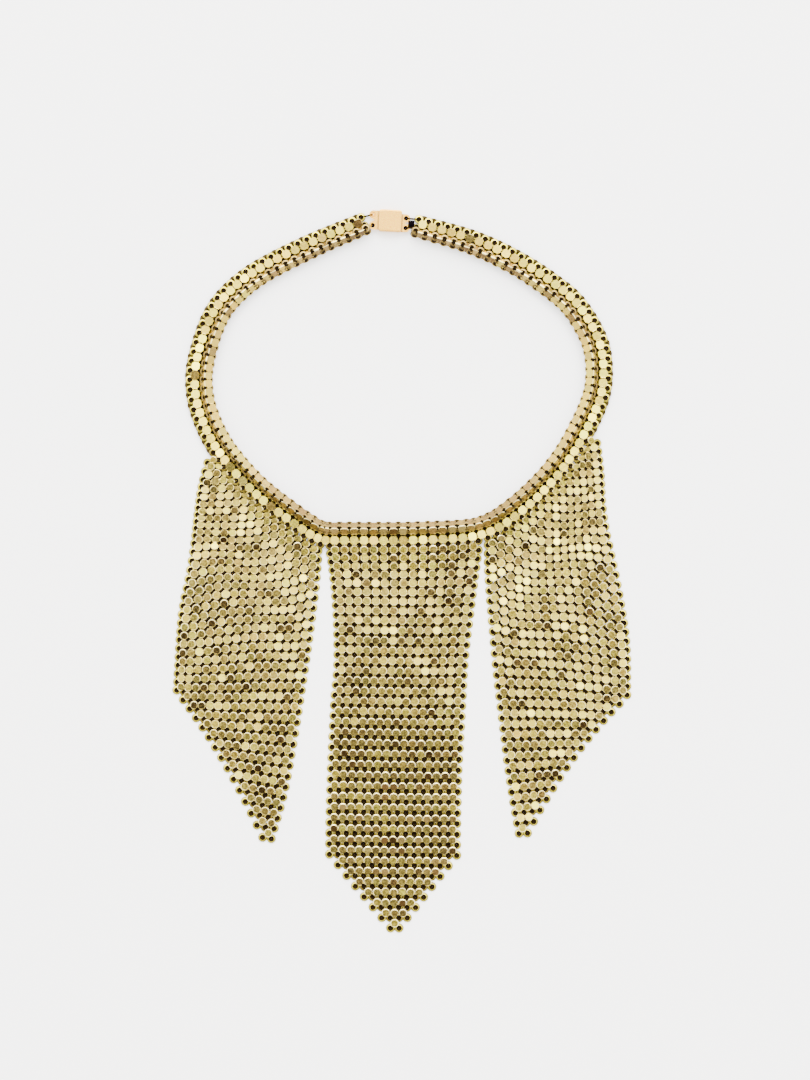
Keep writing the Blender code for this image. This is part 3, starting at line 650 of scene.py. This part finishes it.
def plate_stamp(name, size, facet_share):
    """One plate: a flat facet in a sloping rim, and a prong at each corner that bends down into the ring;
    its underside, flanks and prongs are painted dark as shade.
    """
    bm = bmesh.new()
    shade = bm.faces.layers.float.new("shade")
    rim_highlight = bm.faces.layers.float.new("rim")
    side, corner = size
    outline = []
    for quarter in range(4):
        start = quarter * math.pi / 2
        outline.append((start, side))
        outline.append((start + math.pi / 4 - CORNER_HALF_TURN, corner))
        outline.append((start + math.pi / 4 + CORNER_HALF_TURN, corner))

    def loop(share, height):
        return [bm.verts.new((radius * share * math.cos(angle), radius * share * math.sin(angle), height))
                for angle, radius in outline]

    facet, rim, under = loop(facet_share, FACET_Z), loop(1.0, RIM_Z), loop(UNDER_SHARE, UNDER_Z)
    bm.faces.new(facet)
    # the underside, the flanks and the prongs are painted with the shade colour, painted shade under the
    # plate and down in the rings
    bm.faces.new(reversed(under))[shade] = 1.0
    for index in range(len(outline)):
        after = (index + 1) % len(outline)
        # the sloping rim is marked for a painted highlight
        bm.faces.new((facet[index], rim[index], rim[after], facet[after]))[rim_highlight] = 1.0
        if index % 3 != 1:
            bm.faces.new((rim[index], under[index], under[after], rim[after]))[shade] = FLANK_SHADE
            continue
        turn = Matrix.Rotation((outline[index][0] + outline[after][0]) / 2, 3, "Z")
        half = PRONG_THICKNESS / 2
        section = [rim[index], under[index], under[after], rim[after]]
        for reach, height, half_width in PRONG_BENDS:
            further = [bm.verts.new(turn @ Vector((reach, hand * half_width, height + lift)))
                       for hand, lift in ((-1, half), (-1, -half), (1, -half), (1, half))]
            for start in range(4):
                end = (start + 1) % 4
                bm.faces.new((section[start], further[start], further[end], section[end]))[shade] = 1.0
            section = further
        bm.faces.new(section)[shade] = 1.0
    bmesh.ops.recalc_face_normals(bm, faces=bm.faces)
    return finished_object(name, bm)


def ring_stamp():
    """One ring lying level: its wire is plated, and the funnel inside it, its outer slope and its underside
    are painted with the shade colour.
    """
    bm = bmesh.new()
    shade = bm.faces.layers.float.new("shade")
    bm.faces.layers.float.new("rim")
    sections = []
    for step in range(RING_SEGMENTS):
        angle = 2 * math.pi * step / RING_SEGMENTS
        sections.append([bm.verts.new((out * math.cos(angle), out * math.sin(angle), up))
                         for out, up in RING_PROFILE])
    for step, section in enumerate(sections):
        further = sections[(step + 1) % RING_SEGMENTS]
        for index in range(len(RING_PROFILE)):
            after = (index + 1) % len(RING_PROFILE)
            face = bm.faces.new((section[index], further[index], further[after], section[after]))
            face[shade] = RING_SHADES[index]
    bmesh.ops.recalc_face_normals(bm, faces=bm.faces)
    return finished_object("ring_stamp", bm)


def mesh_tree():
    """Geometry Nodes tree that sets a plate or a ring on each point and scatters their tone a little."""
    tree = bpy.data.node_groups.new("ring_and_plate_mesh", "GeometryNodeTree")
    for title, kind in (("Points", "Geometry"), ("Plate", "Object"), ("Ring", "Object"),
                        ("Tone Scatter", "Float"), ("Seed", "Int"), ("Plate Metal", "Material"),
                        ("Ring Metal", "Material")):
        tree.interface.new_socket(title, in_out="INPUT", socket_type="NodeSocket" + kind)
    tree.interface.new_socket("Mesh", in_out="OUTPUT", socket_type="NodeSocketGeometry")
    nodes, links = tree.nodes, tree.links
    entry = nodes.new("NodeGroupInput")
    leave = nodes.new("NodeGroupOutput")

    def attribute(name, data_type):
        node = nodes.new("GeometryNodeInputNamedAttribute")
        node.data_type = data_type
        node.inputs["Name"].default_value = name
        return node.outputs["Attribute"]

    scatter = nodes.new("FunctionNodeRandomValue")
    scatter.data_type = "FLOAT"
    scatter.inputs[2].default_value = -1.0
    links.new(entry.outputs["Seed"], scatter.inputs["Seed"])
    scattered = nodes.new("ShaderNodeMath")
    scattered.operation = "MULTIPLY_ADD"
    links.new(scatter.outputs[1], scattered.inputs[0])
    links.new(entry.outputs["Tone Scatter"], scattered.inputs[1])
    links.new(attribute("tone", "FLOAT"), scattered.inputs[2])
    toned = nodes.new("GeometryNodeStoreNamedAttribute")
    toned.data_type = "FLOAT"
    toned.domain = "POINT"
    toned.inputs["Name"].default_value = "tone"
    links.new(entry.outputs["Points"], toned.inputs["Geometry"])
    links.new(scattered.outputs["Value"], toned.inputs["Value"])

    parted = nodes.new("GeometryNodeSeparateGeometry")
    parted.domain = "POINT"
    links.new(toned.outputs["Geometry"], parted.inputs["Geometry"])
    links.new(attribute("is_ring", "BOOLEAN"), parted.inputs["Selection"])
    lay_turn = nodes.new("FunctionNodeEulerToRotation")
    links.new(attribute("turned", "FLOAT_VECTOR"), lay_turn.inputs["Euler"])
    joined = nodes.new("GeometryNodeJoinGeometry")
    for points, stamp in ((parted.outputs["Selection"], "Ring"), (parted.outputs["Inverted"], "Plate")):
        shape = nodes.new("GeometryNodeObjectInfo")
        shape.inputs["As Instance"].default_value = True
        links.new(entry.outputs[stamp], shape.inputs["Object"])
        placed = nodes.new("GeometryNodeInstanceOnPoints")
        links.new(points, placed.inputs["Points"])
        links.new(shape.outputs["Geometry"], placed.inputs["Instance"])
        links.new(lay_turn.outputs["Rotation"], placed.inputs["Rotation"])
        links.new(attribute("fitted", "FLOAT_VECTOR"), placed.inputs["Scale"])
        links.new(placed.outputs["Instances"], joined.inputs["Geometry"])
    solid = nodes.new("GeometryNodeRealizeInstances")
    links.new(joined.outputs["Geometry"], solid.inputs["Geometry"])
    plated = nodes.new("GeometryNodeSetMaterial")
    links.new(solid.outputs["Geometry"], plated.inputs["Geometry"])
    links.new(entry.outputs["Plate Metal"], plated.inputs["Material"])
    wired = nodes.new("GeometryNodeSetMaterial")
    links.new(plated.outputs["Geometry"], wired.inputs["Geometry"])
    links.new(attribute("is_ring", "BOOLEAN"), wired.inputs["Selection"])
    links.new(entry.outputs["Ring Metal"], wired.inputs["Material"])
    links.new(wired.outputs["Geometry"], leave.inputs["Mesh"])
    return tree


def grow_mesh(name, lay, tree, values, node):
    """Turns the points into a plain mesh piece that stands for a sheet of the part."""
    points = points_mesh(name + "_points", lay)
    step = points.modifiers.new("mesh", "NODES")
    step.node_group = tree
    sockets = {item.name: item.identifier for item in tree.interface.items_tree
               if item.item_type == "SOCKET" and item.in_out == "INPUT"}
    for socket, value in values.items():
        step[sockets[socket]] = value
    graph = bpy.context.evaluated_depsgraph_get()
    mesh = bpy.data.meshes.new_from_object(points.evaluated_get(graph))
    bpy.data.objects.remove(points, do_unlink=True)
    piece = new_object(name, mesh)
    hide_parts(node)
    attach(piece, "root")


def new_group(name, inputs, outputs):
    group = bpy.data.node_groups.new(name, "ShaderNodeTree")
    for title, kind, value in inputs:
        socket = group.interface.new_socket(title, in_out="INPUT", socket_type=kind)
        socket.default_value = value
    for title, kind in outputs:
        group.interface.new_socket(title, in_out="OUTPUT", socket_type=kind)
    return group, group.nodes.new("NodeGroupInput"), group.nodes.new("NodeGroupOutput")


def feed(tree, socket, value):
    """Links a socket to the one given, or sets it to a plain value."""
    if isinstance(value, bpy.types.NodeSocket):
        tree.links.new(value, socket)
    else:
        socket.default_value = value


def mix_colours(tree, share, first, second, blend="MIX"):
    """Mix node fed by sockets or plain values; gives its colour output."""
    node = tree.nodes.new("ShaderNodeMix")
    node.data_type = "RGBA"
    node.blend_type = blend
    for socket, value in (("Factor", share), (6, first), (7, second)):
        feed(tree, node.inputs[socket], value)
    return node.outputs[2]


def ramp_mask(tree, source, low, high, to_low=0.0, to_high=1.0):
    """Soft ramp from one value to another as the source goes from low to high."""
    node = tree.nodes.new("ShaderNodeMapRange")
    node.interpolation_type = "SMOOTHSTEP"
    tree.links.new(source, node.inputs["Value"])
    node.inputs["From Min"].default_value = low
    node.inputs["From Max"].default_value = high
    node.inputs["To Min"].default_value = to_low
    node.inputs["To Max"].default_value = to_high
    return node.outputs["Result"]


def object_noise(tree, scale, detail=2.0):
    place = tree.nodes.new("ShaderNodeTexCoord")
    node = tree.nodes.new("ShaderNodeTexNoise")
    tree.links.new(place.outputs["Object"], node.inputs["Vector"])
    feed(tree, node.inputs["Scale"], scale)
    node.inputs["Detail"].default_value = detail
    return node.outputs["Fac"]


def value_sum(tree, first, factor, second, clamp=True):
    """first x factor + second, for sockets or plain numbers, held to 0 to 1 unless asked."""
    node = tree.nodes.new("ShaderNodeMath")
    node.operation = "MULTIPLY_ADD"
    node.use_clamp = clamp
    for socket, value in zip(node.inputs, (first, factor, second)):
        feed(tree, socket, value)
    return node.outputs["Value"]


PLATING_NODE = "plating"

# Plating colours by tone: where each is reached, and its colour on plates and on the clasp, with two more
# for the painted highlight on rims and for the painted shade in recesses, in rings and along the clasp's
# edges
PLATING_STEPS = (("Dark", 0.0), ("Deep", 0.25), ("Gold", 0.5), ("Pale", 0.75), ("Bright", 1.0))
PLATE_COLOURS = {
    "Dark": (0.065, 0.038, 0.014), "Deep": (0.215, 0.155, 0.055), "Gold": (0.385, 0.305, 0.080),
    "Pale": (0.64, 0.525, 0.075), "Bright": (1.0, 0.88, 0.095),
    "Highlight": (1.0, 0.86, 0.38), "Shade Colour": (0.012, 0.007, 0.003),
}
CLASP_COLOURS = {
    "Dark": (0.25, 0.12, 0.03), "Deep": (0.62, 0.33, 0.08), "Gold": (1.0, 0.56, 0.08),
    "Pale": (1.0, 0.62, 0.11), "Bright": (1.0, 0.72, 0.20),
    "Highlight": (1.0, 0.88, 0.62), "Shade Colour": (0.05, 0.025, 0.010),
}
# near-black of the wire pieces that paint the shade by the clasp
SHADE_BLACK = (0.0030, 0.0020, 0.0030)
GREENISH = (0.95, 1.0, 0.80, 1.0)
PEACHY = (1.0, 0.84, 0.72, 1.0)
RIM_HIGHLIGHT = (0.35, 0.68)              # further painted highlight on a rim of tone 1, and the painted highlight on a rim of tone 0
ROUGHNESS_RAMP = (0.35, 0.70, 0.22, 0.36)   # clouds from and to, and the roughness there
RECESS_ROUGHNESS = 0.35              # added where the painted shade is full
GRAIN_FINENESS = 1.9                 # how much finer the relief is than the clouds
BUMP_DISTANCE = 0.00005


def plating_group():
    """Gold plating: tone and warmth differ from piece to piece, rims get a painted highlight, and shaded
    places get the painted shade colour.
    """
    group, entry, leave = new_group("gold_plating", [
        ("Tone", "NodeSocketFloat", 0.5),
        ("Warmth", "NodeSocketFloat", 0.5),
        ("Rim", "NodeSocketFloat", 0.0),
        ("Shade", "NodeSocketFloat", 0.0),
        ("Mottle", "NodeSocketFloat", 0.25),
        ("Cloud Scale", "NodeSocketFloat", 1400.0),
        *[(title, "NodeSocketColor", (1, 1, 1, 1)) for title in PLATE_COLOURS],
    ], [("Color", "NodeSocketColor"), ("Roughness", "NodeSocketFloat"), ("Height", "NodeSocketFloat")])
    links = group.links
    cloud = object_noise(group, entry.outputs["Cloud Scale"], 3.0)
    centred = value_sum(group, cloud, 1.0, -0.5, clamp=False)
    tone = value_sum(group, centred, entry.outputs["Mottle"], entry.outputs["Tone"])
    colour = entry.outputs["Dark"]
    for (title, reached), (before, start) in zip(PLATING_STEPS[1:], PLATING_STEPS):
        colour = mix_colours(group, ramp_mask(group, tone, start, reached), colour, entry.outputs[title])
    tint = mix_colours(group, entry.outputs["Warmth"], GREENISH, PEACHY)
    tinted = mix_colours(group, 1.0, colour, tint, "MULTIPLY")
    # painted highlight: rims are lightened towards the highlight colour, more on brighter plates
    highlight = value_sum(group, entry.outputs["Rim"], value_sum(group, entry.outputs["Tone"], *RIM_HIGHLIGHT), 0.0)
    highlighted = mix_colours(group, highlight, tinted, entry.outputs["Highlight"])
    # painted shade: the dark shade colour is mixed in as far as the shade mask asks
    shaded = mix_colours(group, entry.outputs["Shade"], highlighted, entry.outputs["Shade Colour"])
    links.new(shaded, leave.inputs["Color"])
    rough = ramp_mask(group, cloud, *ROUGHNESS_RAMP)
    links.new(value_sum(group, entry.outputs["Shade"], RECESS_ROUGHNESS, rough), leave.inputs["Roughness"])
    grain = value_sum(group, entry.outputs["Cloud Scale"], GRAIN_FINENESS, 0.0, clamp=False)
    links.new(object_noise(group, grain), leave.inputs["Height"])
    return group


def metal(name, plating, colours, metallic=1.0, bump=0.10, shine=0.5, read_masks=True, settings=()):
    """Plated metal; the mesh pieces read their tone, warmth, rim highlight and painted shade from their own
    attributes.
    """
    material = bpy.data.materials.new(name)
    material.use_nodes = True
    nodes, links = material.node_tree.nodes, material.node_tree.links
    shader = nodes["Principled BSDF"]
    plate = nodes.new("ShaderNodeGroup")
    plate.name = PLATING_NODE
    plate.node_tree = plating
    for title, colour in colours.items():
        plate.inputs[title].default_value = (*colour, 1.0)
    for title, value in settings:
        plate.inputs[title].default_value = value
    if read_masks:
        for title in ("Tone", "Warmth", "Rim", "Shade"):
            read = nodes.new("ShaderNodeAttribute")
            read.attribute_name = title.lower()
            links.new(read.outputs["Fac"], plate.inputs[title])
    links.new(plate.outputs["Color"], shader.inputs["Base Color"])
    shader.inputs["Metallic"].default_value = metallic
    shader.inputs["Specular IOR Level"].default_value = shine
    links.new(plate.outputs["Roughness"], shader.inputs["Roughness"])
    relief = nodes.new("ShaderNodeBump")
    relief.inputs["Strength"].default_value = bump
    relief.inputs["Distance"].default_value = BUMP_DISTANCE
    links.new(plate.outputs["Height"], relief.inputs["Height"])
    links.new(relief.outputs["Normal"], shader.inputs["Normal"])
    return material


def make_mesh_pieces(plating):
    plate_metal = metal("plate_gold", plating, PLATE_COLOURS)
    ring_metal = metal("ring_gold", plating, PLATE_COLOURS, settings=(("Mottle", 0.1),))
    tree = mesh_tree()
    panel_plate = plate_stamp("panel_plate", PANEL_PLATE, PANEL_FACET)
    band_plate = plate_stamp("band_plate", BAND_PLATE, BAND_FACET)
    ring = ring_stamp()
    values = {"Ring": ring, "Tone Scatter": TONE_SCATTER, "Plate Metal": plate_metal,
              "Ring Metal": ring_metal}
    left = Panel(left_station, LEFT_OUTER_RUN, LEFT_INNER_RUN, SIDE_ROWS, SIDE_TILTS, LEFT_SETTLE, LEFT_BOWS)
    right = Panel(right_station, RIGHT_OUTER_RUN, RIGHT_INNER_RUN, SIDE_ROWS, SIDE_TILTS, RIGHT_SETTLE,
                  RIGHT_BOWS)
    centre = Panel(centre_station, CENTRE_LEFT_RUN, CENTRE_RIGHT_RUN, CENTRE_ROWS + TAPER_ROWS, CENTRE_TILTS,
                   CENTRE_SETTLE)
    middle = BAND_PLATES // 2
    lays = [
        ("panel_left", lay_panel(left, side_cells(), LEFT_TONES)),
        ("panel_centre", lay_panel(centre, centre_cells(), CENTRE_TONES)),
        ("panel_right", lay_panel(right, side_cells(), RIGHT_TONES)),
        ("neck_band_left", lay_band(0, middle)),
        ("neck_band_right", lay_band(middle, BAND_PLATES)),
    ]
    for seed, (node, lay) in enumerate(lays):
        plate = panel_plate if node.startswith("panel") else band_plate
        grow_mesh("mesh_" + node, lay, tree, {**values, "Plate": plate, "Seed": seed}, node)
    for stamp in (panel_plate, band_plate, ring):
        bpy.data.objects.remove(stamp, do_unlink=True)


def clasp_seat():
    """Middle of the clasp's box, from the corners of the part's own pieces."""
    tongue_low, box_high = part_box("clasp_tongue")[0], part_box("clasp_box")[1]
    return Vector((tongue_low[0] + CLASP_FROM_TONGUE_END, box_high[1] - CLASP_FROM_BOX_SIDE, 0.0))


def clasp_edges(material):
    """Painted shade lines along the ends and the long sides of the clasp's box."""
    tree = material.node_tree
    place = tree.nodes.new("ShaderNodeTexCoord")
    local = tree.nodes.new("ShaderNodeMapping")
    local.vector_type = "TEXTURE"
    local.inputs["Location"].default_value = clasp_seat()
    local.inputs["Rotation"].default_value = (0.0, 0.0, CLASP_TURN)
    tree.links.new(place.outputs["Object"], local.inputs["Vector"])
    size = tree.nodes.new("ShaderNodeVectorMath")
    size.operation = "ABSOLUTE"
    tree.links.new(local.outputs["Vector"], size.inputs[0])
    parts = tree.nodes.new("ShaderNodeSeparateXYZ")
    tree.links.new(size.outputs["Vector"], parts.inputs["Vector"])
    ends = ramp_mask(tree, parts.outputs["X"], *CLASP_END_LINE[:2])
    past_ends = ramp_mask(tree, parts.outputs["X"], *CLASP_END_LINE[2:], 1.0, 0.0)
    sides = ramp_mask(tree, parts.outputs["Y"], *CLASP_SIDE_LINE, 0.0, CLASP_SHADE)
    line = value_sum(tree, ends, past_ends, 0.0)
    shade = value_sum(tree, line, CLASP_SHADE, sides)
    tree.links.new(shade, tree.nodes[PLATING_NODE].inputs["Shade"])


def dress_clasp(plating):
    """Metals of the clasp and the links, which keep the part's solids, and the small pieces beside them."""
    satin = (("Mottle", 0.55), ("Cloud Scale", 3200.0), ("Tone", 0.60), ("Warmth", 0.6))
    clasp = metal("clasp_gold", plating, CLASP_COLOURS, metallic=0.75, bump=0.7, read_masks=False,
                  settings=satin)
    clasp_edges(clasp)
    wire = (("Mottle", 0.2), ("Tone", 0.68), ("Warmth", 0.0))
    link = metal("link_gold", plating, PLATE_COLOURS, read_masks=False, settings=wire)
    # the links other than the lower left one are painted dark, nearly the shade colour
    darkened = (("Mottle", 0.2), ("Tone", 0.05), ("Shade", 0.93))
    dark_link = metal("link_darkened", plating, PLATE_COLOURS, read_masks=False, settings=darkened)
    # near-black, unlit wire: painted shade for the dark gap by the clasp and in its lug holes
    black = {**PLATE_COLOURS, "Shade Colour": SHADE_BLACK}
    shade_wire = metal("wire_painted_shade", plating, black, metallic=0.0, shine=0.0, read_masks=False,
                  settings=(("Shade", 1.0),))
    for name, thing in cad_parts.items():
        if name.startswith("clasp"):
            thing.data.materials.clear()
            thing.data.materials.append(clasp)
        elif name.startswith("link"):
            thing.data.materials.clear()
            thing.data.materials.append(link if name == "link_left_lower" else dark_link)
    make_clasp_fittings(shade_wire, clasp)


def wire_hoop(bm, seat, radius, wire):
    """Closed hoop of round wire about the seat's Z axis."""
    rings = []
    for step in range(HOOP_SEGMENTS):
        turn = Matrix.Rotation(2 * math.pi * step / HOOP_SEGMENTS, 4, "Z")
        rings.append([])
        for side in range(WIRE_SIDES):
            angle = 2 * math.pi * side / WIRE_SIDES
            spot = Vector((radius + wire * math.cos(angle), 0.0, wire * math.sin(angle)))
            rings[-1].append(bm.verts.new(seat @ turn @ spot))
    for step, ring in enumerate(rings):
        further = rings[(step + 1) % HOOP_SEGMENTS]
        for side in range(WIRE_SIDES):
            after = (side + 1) % WIRE_SIDES
            bm.faces.new((ring[side], ring[after], further[after], further[side]))


def hoop_piece(name, hoops, material):
    """One small piece of one or more hoops, each with its seat, radius and wire."""
    bm = bmesh.new()
    for hoop in hoops:
        wire_hoop(bm, *hoop)
    bmesh.ops.recalc_face_normals(bm, faces=bm.faces)
    piece = finished_object(name, bm)
    piece.data.materials.append(material)
    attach(piece, "root")


def make_clasp_fittings(shade_metal, gold):
    """Near-black wire wound between the clasp and the right end of the band, and near-black linings in the
    holes of its lugs, dark pieces that paint the shade there; and a gold plug in the first lug hole.
    """
    seat = Matrix.Translation(clasp_seat()) @ Matrix.Rotation(CLASP_TURN, 4, "Z")
    coil = []
    for step in range(WOUND_TURNS):
        along = SHADE_COIL_SEAT[0] + (step - (WOUND_TURNS - 1) / 2) * WOUND_STEP
        place = Matrix.Translation((along, *SHADE_COIL_SEAT[1:])) @ Matrix.Rotation(math.pi / 2, 4, "Y")
        coil.append((seat @ place, WOUND_RADIUS, WOUND_WIRE))
    hoop_piece("wound_link", coil, shade_metal)
    linings = [(seat @ Matrix.Translation(hole), LINING_RADIUS, LINING_WIRE) for hole in LUG_HOLES[1:]]
    hoop_piece("lug_linings", linings, shade_metal)
    plug = (seat @ Matrix.Translation(LUG_HOLES[0]), PLUG_RADIUS, PLUG_WIRE)
    hoop_piece("lug_plug", [plug], gold)


def make_floor():
    bpy.ops.mesh.primitive_plane_add(size=FLOOR_SIZE, location=(0, 0, 0))
    floor = bpy.context.object
    floor.name = "floor"
    material = bpy.data.materials.new("pale_floor")
    material.use_nodes = True
    shader = material.node_tree.nodes["Principled BSDF"]
    shader.inputs["Base Color"].default_value = FLOOR_COLOUR
    shader.inputs["Roughness"].default_value = FLOOR_ROUGHNESS
    shader.inputs["Emission Color"].default_value = (1.0, 1.0, 1.0, 1.0)
    shader.inputs["Emission Strength"].default_value = FLOOR_GLOW
    floor.data.materials.append(material)


def make_lights():
    """Soft light from beyond the clasp, a weaker one from the near side, and a plain pale sky."""
    for name, place, size, power in LAMPS:
        data = bpy.data.lights.new(name, "AREA")
        data.shape = "RECTANGLE"
        data.size, data.size_y = size
        data.energy = power
        lamp = new_object(name, data)
        lamp.location = place
        lamp.rotation_euler = (-Vector(place)).to_track_quat("-Z", "Y").to_euler()
    world = bpy.context.scene.world or bpy.data.worlds.new("studio")
    bpy.context.scene.world = world
    world.use_nodes = True
    tree = world.node_tree
    way = tree.nodes.new("ShaderNodeTexCoord")
    parts = tree.nodes.new("ShaderNodeSeparateXYZ")
    tree.links.new(way.outputs["Generated"], parts.inputs["Vector"])
    walls = ramp_mask(tree, parts.outputs["Y"], -1.0, 1.0, SKY_NEAR, SKY_FAR)
    ceiling = ramp_mask(tree, parts.outputs["Y"], *CEILING_SPAN, CEILING_NEAR, CEILING_FAR)
    overhead = ramp_mask(tree, parts.outputs["Z"], *OVERHEAD_SPAN)
    strength = tree.nodes.new("ShaderNodeMix")
    tree.links.new(overhead, strength.inputs["Factor"])
    tree.links.new(walls, strength.inputs[2])
    tree.links.new(ceiling, strength.inputs[3])
    sky = tree.nodes["Background"]
    sky.inputs["Color"].default_value = SKY_COLOUR
    tree.links.new(strength.outputs[0], sky.inputs["Strength"])


def make_camera():
    data = bpy.data.cameras.new("photo_camera")
    data.sensor_width = SENSOR_MM
    data.lens = SENSOR_MM * CAMERA_HEIGHT / (IMAGE_HEIGHT_PX * METRES_PER_PIXEL)
    camera = new_object("photo_camera", data)
    camera.location = (*CAMERA_OVER, CAMERA_HEIGHT)
    bpy.context.scene.camera = camera


make_camera()
gold_plating = plating_group()
make_mesh_pieces(gold_plating)
dress_clasp(gold_plating)
make_floor()
make_lights()
